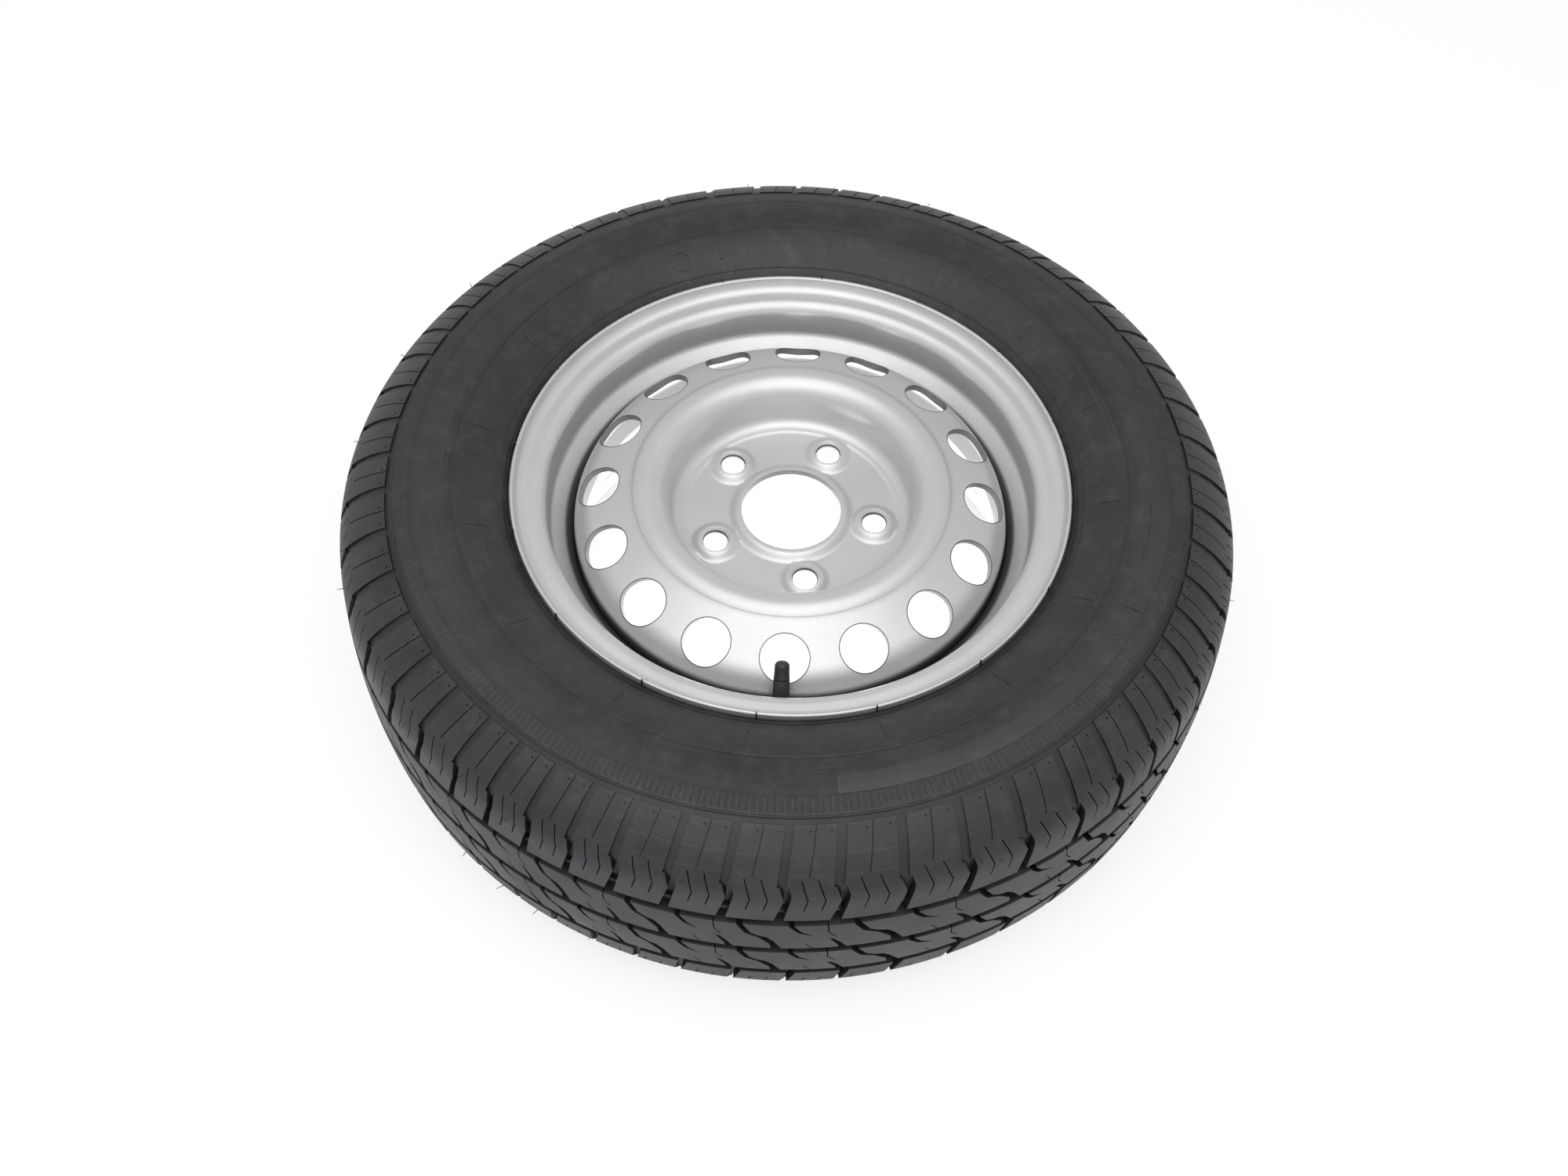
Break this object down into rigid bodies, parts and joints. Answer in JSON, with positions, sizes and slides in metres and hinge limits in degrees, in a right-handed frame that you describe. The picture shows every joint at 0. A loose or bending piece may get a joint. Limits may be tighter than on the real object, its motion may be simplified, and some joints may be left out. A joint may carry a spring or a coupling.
{
  "type": "spare wheel",
  "caption": "Spare road wheel lying flat: pressed steel rim and vented disc with a grooved radial tyre, snap-in valve and cap.",
  "frame": {"origin": "wheel centre: on the axle line, halfway across the tyre and the rim", "axes": "+Z along the axle line, out of the wheel's outboard face; the wheel lies flat with this face up and the valve towards -Y"},
  "size_m": [0.5892, 0.5892, 0.184],
  "materials": {
    "tyre_rubber": "dusty matt",
    "silver_paint": "metallic paint",
    "weld_paint": "painted weld",
    "valve_rubber": "satin",
    "brass": "turned",
    "seal_rubber": "matt",
    "spring_steel": "drawn wire",
    "cap_plastic": "moulded"
  },
  "bodies": {
    "wheel": {"tyre": "tyre_rubber", "rim": "silver_paint", "disc": "silver_paint", "weld_seams": "weld_paint", "valve_rubber": "valve_rubber", "valve_stem": "brass", "core_plug": "brass", "core_gasket": "seal_rubber", "core_spring": "spring_steel"},
    "cap": {"valve_cap": "cap_plastic"},
    "pin": {"core_pin": "brass", "core_cup": "seal_rubber"}
  },
  "joints": [
    {"name": "valve_cap_lift", "type": "slide", "parent": "wheel", "child": "cap", "axis": [0.0084, 0.6018, 0.7986], "range_m": [0, 0.02]},
    {"name": "core_pin_push", "type": "slide", "parent": "wheel", "child": "pin", "axis": [-0.0084, -0.6018, -0.7986], "range_m": [0, 0.0014], "stiffness_N_per_m": 1500, "springref_m": -0.0005}
  ]
}
